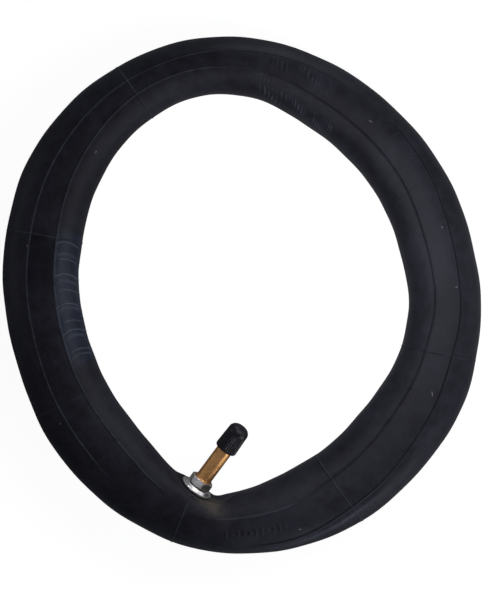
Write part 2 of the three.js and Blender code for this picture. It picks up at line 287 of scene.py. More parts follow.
def sheet_faces(count, rows):
    """Quads of a closed sheet: a top grid, an underside grid after it, and the rim between."""
    below = count * rows
    faces = []
    for i in range(count - 1):
        for j in range(rows - 1):
            a, b = i * rows + j, (i + 1) * rows + j
            faces.append((a, b, b + 1, a + 1))
            faces.append(tuple(below + k for k in (a, a + 1, b + 1, b)))
    rim = list(range(rows))
    rim += [i * rows + rows - 1 for i in range(1, count)]
    rim += [(count - 1) * rows + j for j in range(rows - 2, -1, -1)]
    rim += [i * rows for i in range(count - 2, 0, -1)]
    for a, b in zip(rim, rim[1:] + rim[:1]):
        faces.append((a, b, below + b, below + a))
    return faces


def fit(piece, body, stands_for=None):
    """Rides a piece on a body, in place of a CAD node if one is given."""
    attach(piece, body)
    if stands_for:
        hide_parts(stands_for)
    return piece


def lathe(name, rows, sides):
    """A piece turned about the valve. Each row is a radius and a height, and either can
    change with the angle. Rows close on themselves if the first is off the axis, and else
    the piece ends in a fan at each end."""
    angle = np.arange(sides) * math.tau / sides
    ring = np.stack([np.cos(angle), np.sin(angle)], 1)
    solid_core = np.ndim(rows[0][0]) == 0 and rows[0][0] == 0
    used = rows[1:-1] if solid_core else rows
    points = []
    for radius, height in used:
        flat = ring * np.broadcast_to(radius, sides)[:, None]
        points.append(np.column_stack([flat, np.broadcast_to(height, sides)]))
    faces = grid_faces(len(used), sides, not solid_core)
    if solid_core:
        last = len(used) * sides
        points.append(np.array([[0, 0, rows[0][1]], [0, 0, rows[-1][1]]]))
        for j in range(sides):
            k = (j + 1) % sides
            faces.append((j, k, last))
            faces.append((last - sides + j, last - sides + k, last + 1))
    piece = new_piece(name, np.concatenate(points), faces, VALVE)
    soften(piece)
    return piece


def thread_rows(radius, depth, low, high, sides, inside=False):
    """Rows of a right-hand screw thread between two heights, which runs out at both ends.
    Depth cuts in from radius, or outwards for a thread inside a hole."""
    per_turn = 8
    angle = np.arange(sides) / sides
    rows = []
    for i in range(int((high - low) / PITCH * per_turn) + 1):
        height = low + i * PITCH / per_turn
        phase = (height / PITCH - angle) % 1
        groove = np.clip(1.6 - 4 * np.abs(phase - 0.5), 0, 1)
        fade = window(height, low + PITCH, high - PITCH, PITCH)
        cut = depth * fade * groove
        rows.append((radius + cut if inside else radius - cut, height))
    return rows


def arc_rows(centre_r, centre_h, radius, start, end, steps=5):
    """Rows round an arc of a profile, from start to end in degrees."""
    turns = np.radians(np.linspace(start, end, steps))
    return [(centre_r + radius * math.cos(t), centre_h + radius * math.sin(t)) for t in turns]


# ---------------- the tube's shape


def ring_sections():
    """The frame's tube as rows of direction, centre radius, half width and half height. The
    flat strip that the tube rests on gives the first three, and its crown the height."""
    on_floor, close = 0.01, 1.5  # what counts as near, in millimetres
    co = vertices(frame["nodes"]["tube_body"])
    strip = co[co[:, 2] < on_floor]
    radius = np.hypot(strip[:, 0], strip[:, 1])
    turn = np.degrees(np.arctan2(strip[:, 1], strip[:, 0])) % 360
    order = np.argsort(turn)
    radius, turn = radius[order], turn[order]
    splits = np.where(np.diff(turn) > 1)[0] + 1
    groups = np.split(np.arange(len(turn)), splits)
    if turn[groups[0][0]] + 360 - turn[groups[-1][-1]] < 1:
        groups[0] = np.concatenate([groups[0], groups.pop()])
    strip_share = math.sqrt(1 - FLOOR_SHARE**2)
    rows = []
    for group in groups:
        first = turn[group[0]]
        direction = first + apart(turn[group], first).mean()
        inner, outer = radius[group].min(), radius[group].max()
        centre = (inner + outer) / 2
        a = math.radians(direction)
        away = np.hypot(co[:, 0] - centre * math.cos(a), co[:, 1] - centre * math.sin(a))
        crown = co[away < close, 2].max()
        half_width = (outer - inner) / 2 / strip_share
        rows.append((direction % 360, centre, half_width, crown / (1 + FLOOR_SHARE)))
    return np.array(rows)


SECTIONS = ring_sections()


def closer(found, place, offsets, gap):
    """Clears the grid's lines round a place, and puts closer ones on either side of it."""
    found = [at for at in found if abs(apart(at, place)) > offsets[-1] + gap]
    return found + [place + side * offset for offset in offsets for side in (-1, 1)]


def columns():
    """The directions of the skin's columns, closer where there are wrinkles and lines."""
    found = list(np.arange(0, 360, COLUMN_STEP))
    for low, high, step in FINE_STRETCHES:
        found = [d for d in found if not low <= d <= high]
        found += list(np.arange(low, high, step))
    for direction, _, _ in CROSS_LINES:
        found = closer(found, direction, CROSS_COLUMNS, COLUMN_GAP)
    return np.unique(np.round(np.array(found) % 360, 4))


def section_rows():
    """The angles of the skin's rows on the moulded section, closer beside the lines."""
    found = list(np.arange(0, FLOOR_ROWS[0] - 5, SECTION_STEP))
    found += list(np.arange(*FLOOR_ROWS, FLOOR_STEP))
    found += list(np.arange(FLOOR_ROWS[1] + 2, 360, SECTION_STEP))
    for line in (90 - RIB_ANGLE, 90 + RIB_ANGLE, 270 - RIB_ANGLE, 270 + RIB_ANGLE):
        found = closer(found, line, RIB_ROWS, ROW_GAP)
    found = closer(found, 90, LABEL_ROWS, LABEL_GAP)
    found += list(np.arange(*PUCKER_ROWS))
    return np.unique(np.round(np.array(found) % 360, 4))


def section(direction):
    """The section's centre radius, half width and half height."""
    return [periodic(direction, SECTIONS[:, 0], SECTIONS[:, k]) for k in (1, 2, 3)]


def moulded_lines(direction):
    """The section angles of the inner and the outer moulded line."""
    table = np.array(MOULDED_LINES, float)
    return [periodic(direction, table[:, 0], table[:, k]) for k in (1, 2)]


def rolled(direction, q):
    """Where a place on the moulded section has rolled to: its section angle in degrees."""
    inner, outer = moulded_lines(direction)
    roll = (inner + outer) / 2 - 90
    spread = (inner - outer) / 2 - RIB_ANGLE
    sway = np.sin(np.radians(2 * (q - 90))) / math.sin(math.radians(2 * RIB_ANGLE))
    return q + roll + spread * sway


def outwards(direction, q):
    """How far a place lies from the section's centre, seen from above, in millimetres."""
    _, half_width, _ = section(direction)
    return half_width * np.cos(np.radians(rolled(direction, q)))


def leaning(direction, q):
    """The columns' directions, where those beside a slanted cross line lean along with it."""
    slope = outwards(direction, q)
    lean = 0.0
    for place, slant, _ in CROSS_LINES:
        lean = lean + slant * slope * window(apart(direction, place), -1, 1, LEAN_FADE)
    return direction + lean


def ribs(direction, q):
    """The height of the moulded lines that run along the tube."""
    _, half_width, half_height = section(direction)
    degree = np.radians(0.5 * (half_width + half_height))
    height = 0.0
    outer_line = 1 - GAP_FADE * window(direction, *OUTER_GAP)
    inner_line = 1 - GAP_FADE * window(direction, *INNER_GAP)
    for line, strength in ((90 - RIB_ANGLE, outer_line), (90 + RIB_ANGLE, inner_line)):
        for place in (line, 360 - line):
            profile = bump(apart(q, place) * degree, RIB_WIDTH)
            height = height + RIB_HEIGHT * strength * profile
    return height


def cross_lines(direction, q):
    """The height of the moulded lines that run across the tube."""
    slope = outwards(direction, q)
    height = 0.0
    for place, slant, tall in CROSS_LINES:
        off = np.radians(apart(direction, place + slant * slope)) * MEAN_RADIUS
        height = height + tall * bump(off, CROSS_WIDTH) * window(q, *CROSS_REACH)
    return height


def label(direction, q):
    """The height of the label's dashes."""
    share = (direction - LABEL_FROM) / (LABEL_TO - LABEL_FROM)
    count = share * LABEL_BARS
    bars = window(count % 1, *DASH_SPAN) * window(share, 0, 1, 0.001)
    reach = LABEL_HALF * np.where(np.floor(count) % 3 == 1, SHORT_DASH, 1)
    return LABEL_HEIGHT * bars * (1 - smooth_step(np.abs(q - 90), reach - 0.8, reach))


def moulding(direction, q):
    """The height of all that is moulded on the skin."""
    return ribs(direction, q) + cross_lines(direction, q) + label(direction, q)


# Zones of fine puckers: directions from and to, section angles from and to, height, pitch.
PUCKERS = (
    (68, 83, 77, 92, 0.13, 2.1),
    (76, 90, 112, 128, 0.08, 1.9),
    (62.5, 67.5, 138, 167, 0.26, 1.5),
    (69, 76.5, 137, 164, 0.17, 1.9),
    (78, 84.5, 138, 167, 0.28, 2.2),
)


def puckers(direction, q):
    """The fine radial wrinkles where the soft ring is bent. They wander, and come in patches."""
    length = np.radians(direction) * MEAN_RADIUS
    wander = 0.9 * np.sin(q / 7.5) + 0.7 * np.sin(length / 1.7) + 0.5 * np.sin(length / 4.3)
    height = 0.0
    for start, end, inner, outer, tall, pitch in PUCKERS:
        zone = window(direction, start, end, 1.4) * window(q, inner, outer, 4)
        crest = 0.5 + 0.5 * np.sin(math.tau * length / pitch + wander)
        patchy = 0.5 + 0.5 * np.sin(length / 2.3 + q / 6 + tall * 40)
        height = height + tall * zone * (0.15 + 0.85 * patchy**2) * crest**3
    return height


# A film-like patch fills the inner slope between these directions.
PATCH_FROM = 160.6
PATCH_TO = 203
PATCH_STEP = 0.14
PATCH_ROWS = 84
PATCH_PROUD = 0.07
PATCH_SUNK = 0.03  # how far the sheet's edge is let in to the skin
PATCH_UNDER = 0.12  # how deep its underside lies
PATCH_EDGE = 0.7  # degrees over which it rises at its sides
PATCH_START = 0.2  # degrees over which it rises at its upper end
PATCH_END = (6, 1.4)  # degrees before and past PATCH_TO between which it thins out
# Bowed folds cross the patch at nearly even steps, strong and weak by turns.
FOLD_COUNT = 13
FOLD_STEP = 3.1
FOLD_BOW = 1.5  # how many degrees a fold's ends lie ahead of its middle
FOLD_HEIGHTS = (0.15, 0.06, 0.1)
FOLD_HALVES = (0.2, 0.5, 0.26)
FOLD_FULL = 0.16  # a fold this high is painted fully pale, partly as wear and partly as painted highlight
EDGE_PALENESS = 0.55
STREAK_HEIGHT = 0.03
STREAK_ZONE = (173, 184, 3)  # from, to, how softly
PATCH_DEGREE = 1.5  # millimetres to a degree at the patch


def across_patch(q):
    """0 at the moulded line and 1 at the tube's inner edge, as seen from above."""
    start = math.sin(math.radians(RIB_ANGLE))
    return (-np.cos(np.radians(np.minimum(q, 180))) - start) / (1 - start)


def patch_folds(direction, q):
    """The height of the patch's folds, and of faint streaks along it."""
    share = across_patch(q)
    height = 0.0
    for k in range(FOLD_COUNT):
        middle = PATCH_FROM + FOLD_STEP * (k + 0.8 + 0.3 * math.sin(2.4 * k))
        off = PATCH_DEGREE * (direction - middle - FOLD_BOW * (2 * share - 1) ** 2)
        reach = window(share, 0.12 * (k % 3), 1 - 0.14 * ((k + 1) % 2), 0.08)
        height = height + FOLD_HEIGHTS[k % 3] * bump(off, FOLD_HALVES[k % 3]) * reach
    streaks = np.sin(34 * share + 2 * np.sin(direction / 3)) ** 2
    height = height + STREAK_HEIGHT * streaks * window(direction, *STREAK_ZONE)
    inside = window(direction, PATCH_FROM + 1, PATCH_TO, 1) * smooth_step(share, 0.0, 0.06)
    return inside * height


# Slow swells: height, waves round the ring, waves round the section, and phase in radians.
SWELLS = ((0.22, 5, 2, 0), (0.16, 9, 1, -1.3), (0.1, 17, 3, 0.6), (0.07, 29, -2, 0))
# A soft fold on the outer slope: a ridge and a dip, each height, section angle and width.
CREASE = ((0.7, 59, 3.2), (-0.3, 65.5, 2.2))
CREASE_SPAN = (281, 300, 9)  # directions from and to, and how softly


def softness(direction, q):
    """Slow dents and swells of a tube that isn't fully blown up."""
    swell = 0.0
    for tall, round_ring, round_section, phase in SWELLS:
        turn = round_ring * np.radians(direction) + round_section * np.radians(q) + phase
        swell = swell + tall * np.sin(turn)
    for tall, middle, width in CREASE:
        swell = swell + tall * bump(q - middle, width) * window(direction, *CREASE_SPAN)
    return swell


def skin(direction, q, inset=0.0, detail=True, folds=None):
    """The tube's skin at directions and moulded section angles, in millimetres. Inset goes
    inwards from the surface, and without detail the skin is a plain flattened ellipse."""
    centre, half_width, full_half = section(direction)
    half_width = half_width - inset
    half_height = full_half - inset
    angle = np.radians(rolled(direction, q))
    power = FULLNESS if detail else 2
    out = np.cos(angle)
    up = np.sign(np.sin(angle)) * (1 - np.abs(out) ** power) ** (1 / power)
    across = half_width * out
    height = FLOOR_SHARE * full_half + half_height * up
    if detail:
        on_top = smooth_step(height, *DETAIL_RISE)
        swell = softness(direction, q) + puckers(direction, q) + moulding(direction, q)
        if folds:
            swell = swell + folds(direction, q)
        sides = np.sign(out) * np.abs(out) ** (power - 1) / half_width
        normal = np.stack([sides, np.sign(up) * np.abs(up) ** (power - 1) / half_height])
        normal = normal / np.linalg.norm(normal, axis=0)
        across = across + normal[0] * swell * on_top
        height = height + normal[1] * swell * on_top
    lift = height - inset
    height = inset + 0.5 * (lift + np.sqrt(lift * lift + FLOOR_BLEND**2)) - SINK
    turn = np.radians(direction)
    radius = centre + across
    points = np.stack([radius * np.cos(turn), radius * np.sin(turn), height], -1)
    return seated(points, inset)


def seated(points, inset):
    """Presses the rubber flat under the washer, with a soft roll round it."""
    local = in_valve(points)
    away = np.hypot(local[..., 0], local[..., 1])
    hold = 1 - smooth_step(away, SEAT_FLAT, SEAT_FADE)
    hold = hold * smooth_step(local[..., 2], -SEAT_DEPTH, -0.5 * SEAT_DEPTH)
    target = SEAT_LEVEL - inset
    for tall, radius, width in (SEAT_ROLL, SEAT_DIP):
        target = target + tall * bump(away - radius, width)
    shift = hold * (target - local[..., 2])
    return points + shift[..., None] * VALVE_AXES[:, 2]


def skin_mesh(name, direction, q, inset, detail):
    """A closed skin over a grid of directions, with a row for each column of the ring."""
    points = skin(direction, q, inset, detail)
    faces = grid_faces(len(direction), q.size, True)
    return new_piece(name, points.reshape(-1, 3), faces)


def cut(piece, tool):
    """Takes the tool's solid out of the piece, and the tool out of the scene."""
    bpy.context.view_layer.update()
    modifier = piece.modifiers.new("cut", "BOOLEAN")
    modifier.operation = "DIFFERENCE"
    modifier.solver = "MANIFOLD"
    modifier.object = tool
    depsgraph = bpy.context.evaluated_depsgraph_get()
    mesh = bpy.data.meshes.new_from_object(piece.evaluated_get(depsgraph))
    piece.modifiers.clear()
    piece.data = mesh
    bpy.data.objects.remove(tool)


def hole_tool():
    """A plug of the valve hole's size, from inside the tube to above the seat."""
    low, high = HOLE_SPAN
    return lathe("hole_tool", [(0, low), (HOLE_R, low), (HOLE_R, high), (0, high)], HOLE_SIDES)


SCUFF_WIDTH = 0.3
# Small pale scuffs: place in plan, half length, and the way they run in degrees.
SCUFFS = (
    (91.8, -47.6, 1.5, 100), (-70.7, 69.3, 1.0, 60), (103.5, 4.0, 0.8, 20),
    (62.0, 84.0, 1.0, 150), (-88.0, -62.0, 0.9, 120), (-104.0, 24.0, 0.8, 75),
    (28.0, -113.0, 0.9, 10), (96.5, 33.0, 0.7, 95),
)
# The tan mark beside the washer: place in plan, half length and width, and its run.
TAN_MARK = ((-15.4, -99.8), 4.8, 2.6, -50)
# The darker stretch of the crown beside the patch starts sharply and fades out.
SHADE_SPAN = (163.6, 175, 7)
SHADE_START = (163.2, 163.8)
LINE_SOFT = 0.03  # how softly a mask ends at a moulded line, as a share of the half width


def spot(co, place, long, wide, turn):
    """A soft oval mark on the rubber."""
    a = math.radians(turn)
    x, y = co[:, 0] - place[0], co[:, 1] - place[1]
    along = x * math.cos(a) + y * math.sin(a)
    aside = y * math.cos(a) - x * math.sin(a)
    return np.exp(-0.5 * ((along / long) ** 2 + (aside / wide) ** 2))


def paint(piece, name, values):
    """Keeps a value for each vertex, for the piece's material to read."""
    attribute = piece.data.attributes.new(name, "FLOAT", "POINT")
    attribute.data.foreach_set("value", np.asarray(values, np.float32))


def paint_masks(piece):
    """Gives a piece its vertex values for the film patch, with its tint and painted sheen, for
    the darker stretch of crown, and for the tan mark, from each vertex's place.
    """
    co = vertices(piece)
    direction = np.degrees(np.arctan2(co[:, 1], co[:, 0])) % 360
    centre, half_width, half_height = section(direction)
    out = np.clip((np.hypot(co[:, 0], co[:, 1]) - centre) / half_width, -1, 1)
    inner, outer = [np.cos(np.radians(line)) for line in moulded_lines(direction)]
    top = co[:, 2] > FLOOR_SHARE * half_height
    inside = smooth_step(inner - out, 0, LINE_SOFT)
    between = smooth_step(out - inner, 0, LINE_SOFT) * smooth_step(outer - out, 0, LINE_SOFT)
    shade = window(direction, *SHADE_SPAN) * smooth_step(direction, *SHADE_START)
    masks = {
        # the film patch: its own tint and painted sheen
        "film_sheen": window(direction, PATCH_FROM, PATCH_TO, 1.2) * inside * top,
        "shade": shade * between * top,
        "tan_mark": spot(co, *TAN_MARK) * top,
    }
    for name, values in masks.items():
        paint(piece, name, values)


# Where the lines along the tube and across it are painted pale, partly as wear and partly as
# painted
# highlight: from, to, how softly. Over OUTER_FADE the line along the outer slope stops being
# pale, as far up as CROWN_FADE.
PALE_ALONG = (100, 280, 8)
PALE_ACROSS = (100, 305, 25)
FAR_PALENESS = 0.15  # the share left of a cross line's paleness outside PALE_ACROSS
OUTER_FADE = (250, 275)
CROWN_FADE = (75, 85)
LINE_FULL = 1  # a line this high is fully pale, and so is a pucker of PUCKER_FULL
PUCKER_FULL = 0.42
CREASE_PALE = (279, 296, 9)
CREASE_HIGHLIGHT = (0.32, 59.5, 3.2)  # how pale the painted highlight along the crease is, its section angle and width
# A moulded line that isn't pale is painted dark, as painted shade along the rib: where it is
# pale, how dark it is, and its width.
OUTER_SEAM = ((55, 268, 9), 0.9, 0.85)
INNER_SEAM = ((95, 284, 10), 0.4, 0.9)


def worn_and_highlit_crests(direction, q):
    """How far raised lines and puckers are painted pale, from 0 to 1, partly as wear and partly
    as painted highlight, with a painted highlight along the crease.
    """
    outer_side = 1 - smooth_step(q, *CROWN_FADE)
    along = ribs(direction, q) * window(direction, *PALE_ALONG)
    along = along * (1 - smooth_step(direction, *OUTER_FADE) * outer_side)
    near = FAR_PALENESS + (1 - FAR_PALENESS) * window(direction, *PALE_ACROSS)
    lines = (along + near * cross_lines(direction, q)) / LINE_FULL
    # a painted highlight along the crease on the outer slope
    highlight, middle, width = CREASE_HIGHLIGHT
    crease = highlight * bump(q - middle, width) * window(direction, *CREASE_PALE)
    return np.clip(lines + crease + puckers(direction, q) / PUCKER_FULL, 0, 1)


def dark_seams(direction, q):
    """How far the moulded lines are painted dark as painted shade, where their crests are not
    painted pale.
    """
    dark = 0.0
    for line, (pale, depth, width) in ((-RIB_ANGLE, OUTER_SEAM), (RIB_ANGLE, INNER_SEAM)):
        seam = bump(apart(q, 90 + line), width) * (1 - window(direction, *pale))
        dark = dark + depth * seam
    return np.clip(dark, 0, 1)


def build_tube():
    """The hollow ring, with its moulding, its valve hole and the marks painted on it."""
    q = section_rows()[None, :]
    direction = leaning(columns()[:, None], q)
    outside = skin_mesh("tube_skin", direction, q, 0.0, True)
    # crest: pale crests, partly wear and partly painted highlight; seam: painted shade along the
    # moulded lines
    paint(outside, "crest", worn_and_highlit_crests(direction, q).ravel())
    paint(outside, "seam", dark_seams(direction, q).ravel())
    across, around = [np.arange(0, 360, step) for step in CAVITY_STEPS]
    cavity = skin_mesh("cavity_tool", across[:, None], around[None, :], WALL, False)
    cut(outside, cavity)
    cut(outside, hole_tool())
    outside.data.shade_smooth()
    paint_masks(outside)
    return fit(outside, "tube", "tube_body")


def build_patch():
    """The film-like patch on the inner slope: a thin closed sheet that beds in the skin,
    with fine folds, and that thins out at its lower end."""
    direction = np.arange(PATCH_FROM, PATCH_TO + PATCH_END[1] + 0.2, PATCH_STEP)[:, None]
    q = np.linspace(90 + RIB_ANGLE + 1.2, 179, PATCH_ROWS)[None, :]
    rim = smooth_step(direction, PATCH_FROM, PATCH_FROM + PATCH_START)
    rim = rim * (1 - smooth_step(direction, PATCH_TO - PATCH_END[0], PATCH_TO + PATCH_END[1]))
    rim = rim * window(q, q.min() + PATCH_EDGE, q.max() - PATCH_EDGE, PATCH_EDGE)
    proud = (PATCH_PROUD + PATCH_SUNK) * rim - PATCH_SUNK
    top = skin(direction, q, -proud, True, patch_folds)
    under = skin(direction, q, PATCH_UNDER, True)
    points = np.concatenate([top.reshape(-1, 3), under.reshape(-1, 3)])
    patch = new_piece("film_patch", points, sheet_faces(len(direction), PATCH_ROWS))
    soften(patch, 60)
    paint_masks(patch)
    # the folds' crests and the sheet's upper edge are painted pale, partly as wear and partly as
    # painted highlight
    edge = EDGE_PALENESS * bump(q - q.min() - 1.0, PATCH_EDGE)
    crest = np.clip(patch_folds(direction, q) / FOLD_FULL + edge, 0, 1).ravel()
    paint(patch, "crest", np.concatenate([crest, 0 * crest]))
    return fit(patch, "tube")


# ---------------- the valve's pieces


def build_stem():
    """The stem: its foot inside the tube, the nut's thread, a plain shank and the tip's
    thread, and then back down through the core's thread, its seat and the air hole."""
    sides = 96
    foot_top = FOOT_LOW + FOOT_HEIGHT
    tip_low = CAP_MOUTH + 2.1
    shank_low, shank_high = NUT_TOP + 0.6, CAP_MOUTH + 1.4
    rows = [(AIR_HOLE_R, FOOT_LOW)]
    rows += arc_rows(FOOT_R - 0.4, FOOT_LOW + 0.4, 0.4, -90, 0)
    rows += arc_rows(FOOT_R - 0.3, foot_top - 0.3, 0.3, 0, 90)
    rows += [(BASE_THREAD_R, foot_top)]
    rows += thread_rows(BASE_THREAD_R, BASE_THREAD_DEPTH, foot_top + 0.2, NUT_TOP + 0.1, sides)
    rows += [(BASE_THREAD_R, NUT_TOP + 0.14), (STEM_R + 0.02, NUT_TOP + 0.45)]
    rows += [(STEM_R, shank_low)]
    rows += [(STEM_R, height) for height in np.linspace(shank_low + 1.4, shank_high, 8)]
    rows += [(TIP_THREAD_R + 0.01, tip_low - 0.2)]
    rows += thread_rows(TIP_THREAD_R, TIP_THREAD_DEPTH, tip_low, STEM_TIP - 0.5, sides)
    rows += [(3.5, STEM_TIP - 0.1), (3.4, STEM_TIP), (3.1, STEM_TIP)]
    rows += [(CORE_THREAD_R + 0.03, STEM_TIP - 0.35), (CORE_THREAD_R, STEM_TIP - 6)]
    rows += [(CORE_SEAT_R, STEM_TIP - 8.6), (CORE_SEAT_R, STEM_TIP - 18.5)]
    rows += [(AIR_HOLE_R, STEM_TIP - 19.5)]
    return fit(lathe("stem", rows, sides), "tube", "valve_stem")


def build_washer():
    """The dished washer: a flat middle under the nut, a sloping dish and a rounded rim."""
    inner = CLAMP_HOLE_R
    under = WASHER_TOP - 1.2
    lip = WASHER_LOW + 0.9
    rows = [(inner, under + 0.12), (inner + 0.12, under), (5.7, under)]
    rows += [(6.1, under - 0.16), (7.1, WASHER_LOW + 0.12), (7.4, WASHER_LOW)]
    rows += arc_rows(WASHER_R - 0.35, WASHER_LOW + 0.35, 0.35, -90, 0)
    rows += arc_rows(WASHER_R - 0.3, lip, 0.3, 0, 140, 7)
    rows += [(7.4, lip - 0.04), (7.1, lip + 0.12), (6.5, WASHER_TOP - 0.2)]
    rows += [(6.3, WASHER_TOP - 0.04), (6.05, WASHER_TOP), (inner + 0.15, WASHER_TOP)]
    rows += [(inner, WASHER_TOP - 0.12)]
    return fit(lathe("washer", rows, 128), "clamp_washer", "bridge_washer")


def build_nut():
    """A hexagon nut: flats with rounded corners, cone chamfers at both ends, and a thread."""
    sides = 192
    turn = np.degrees(np.arange(sides) * math.tau / sides)
    from_flat = np.radians((turn - NUT_CORNER_AT) % 60 - 30)
    flat = NUT_CORNER * math.cos(math.radians(30))
    hexagon = np.minimum(flat / np.cos(from_flat), NUT_CORNER - 0.12)
    chamfer_r = flat - 0.15
    drop = (hexagon - chamfer_r) * math.tan(math.radians(32))
    bore = CLAMP_HOLE_R
    rows = [(bore + 0.35, NUT_LOW), (chamfer_r - 0.1, NUT_LOW), (chamfer_r, NUT_LOW + 0.02)]
    rows += [(hexagon, NUT_LOW + 0.04 + drop), (hexagon, NUT_LOW + 1.5)]
    rows += [(hexagon, NUT_TOP - 1.5), (hexagon, NUT_TOP - 0.04 - drop)]
    rows += [(chamfer_r, NUT_TOP - 0.02), (chamfer_r - 0.1, NUT_TOP), (bore + 0.35, NUT_TOP)]
    thread = thread_rows(bore, 0.3, NUT_LOW + 0.4, NUT_TOP - 0.35, sides, inside=True)
    rows += thread[::-1]
    return fit(lathe("nut", rows, sides), "clamp_nut", "hex_nut")


def build_cap():
    """The dust cap: fluted for the fingers, with a plain lip, a smooth dome and a thread."""
    sides = 8 * FLUTES
    turn = np.arange(sides) / sides * FLUTES
    ridge = 0.5 + 0.5 * np.cos(math.tau * turn)
    flute = 1 - ridge**1.3
    shoulder = CAP_TOP - CAP_DOME
    rows = arc_rows(CAP_R - 0.55, CAP_MOUTH + 0.25, 0.25, -90, -30, 3)
    rows += [(CAP_R - 0.12, CAP_MOUTH + 0.55)]
    for height in np.linspace(CAP_MOUTH + 0.8, shoulder, 22):
        share = (height - CAP_MOUTH) / (shoulder - CAP_MOUTH)
        radius = CAP_R + (CAP_END_R - CAP_R) * share
        deep = FLUTE_DEPTH * window(height, CAP_MOUTH + 1.3, shoulder - 1.4, 0.7)
        rows.append((radius - deep * flute, height))
    for turned in np.radians(np.linspace(6, 86, 14)):
        radius = CAP_END_R * math.cos(turned) ** 0.8
        rows.append((radius, shoulder + CAP_DOME * math.sin(turned)))
    rows += [(0, CAP_TOP)]
    thread_low, thread_high = CAP_MOUTH + 2.7, SEAL_LOW - 0.3
    bore = [(4.4, CAP_MOUTH), (4.4, CAP_MOUTH + 2.4)]
    bore += thread_rows(CAP_HOLE_R, 0.22, thread_low, thread_high, sides, inside=True)
    bore += [(CAP_HOLE_R, SEAL_TOP + 0.28)]
    rows = [(0, SEAL_TOP + 0.3)] + bore[::-1] + rows
    return fit(lathe("cap", rows, sides), "cap", "dust_cap")


def build_seal():
    """The cap's soft disc, a little hollow underneath, with rounded edges."""
    rounding = 0.2
    edge = SEAL_R - rounding
    rows = [(0, SEAL_LOW + 0.08), (1.2, SEAL_LOW + 0.05), (2.4, SEAL_LOW), (edge, SEAL_LOW)]
    rows += arc_rows(edge, SEAL_LOW + rounding, rounding, -60, 0, 3)
    rows += arc_rows(edge, SEAL_TOP - rounding, rounding, 0, 90, 4)
    rows += [(0, SEAL_TOP)]
    return fit(lathe("cap_seal_disc", rows, 64), "cap_lift", "cap_seal")


def build_spring():
    """The core's coil spring, with closed end turns."""
    wire = 0.14
    mean = SPRING_R - wire
    turns = 6.5
    closed = 0.8  # of a turn at each end
    steps, sides = 160, 8
    low, high = SPRING_LOW + wire, SPRING_TOP - wire
    turn = np.linspace(0, turns, steps)[:, None]
    end = 2 * wire + 0.02
    bends = (0, closed, turns - closed, turns)
    height = np.interp(turn, bends, (low, low + end, high - end, high))
    angle = math.tau * turn
    across = np.linspace(0, math.tau, sides, endpoint=False)
    out = mean + wire * np.cos(across)
    up = height + wire * np.sin(across)
    points = np.stack([out * np.cos(angle), out * np.sin(angle), up], -1)
    faces = grid_faces(steps, sides, False)
    faces += [tuple(range(sides)), tuple(range((steps - 1) * sides, steps * sides))]
    spring = new_piece("spring_coil", points.reshape(-1, 3), faces, VALVE)
    soften(spring, 60)
    fit(spring, "tube", "core_spring")
    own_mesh(spring)
    return spring


# ---------------- materials

# The rubber's colours: the butyl itself, what lies on it, and painted shade and highlight.
BUTYL = (0.0058, 0.0055, 0.0092)
BLOOM = (0.0155, 0.0152, 0.0235)
SPECK = (0.035, 0.035, 0.045)
# painted shade, for the dark moulded lines and the darker stretch of crown
PAINTED_SHADE = (0.002, 0.002, 0.004)
# the film patch's lighter blue: partly its own tint, partly painted sheen
FILM_TINT_AND_SHEEN = (0.012, 0.0175, 0.036)
# pale crests of lines, puckers and folds: partly wear, partly painted highlight
WORN_AND_HIGHLIT = (0.085, 0.096, 0.13)
TAN = (0.1, 0.086, 0.066)
SCUFF = (0.16, 0.16, 0.17)
SHADE_DARKNESS = 0.36
# The colours of the other pieces.
BRASS, DULL_BRASS = (0.82, 0.44, 0.17), (0.58, 0.29, 0.12)
ZINC, DULL_ZINC = (0.95, 0.94, 0.95), (0.6, 0.58, 0.57)
STEEL, DULL_STEEL = (0.6, 0.6, 0.62), (0.42, 0.42, 0.44)
SEAL_BLACK = (0.01, 0.01, 0.011)
PAD_BLACK = (0.015, 0.015, 0.017)
SEAL_RED = (0.3, 0.03, 0.02)
CAP_BLACK, CAP_VIOLET = (0.0055, 0.0047, 0.0085), (0.0095, 0.008, 0.014)
FLOOR_WHITE = 0.935  # the floor's own light, which only the camera sees


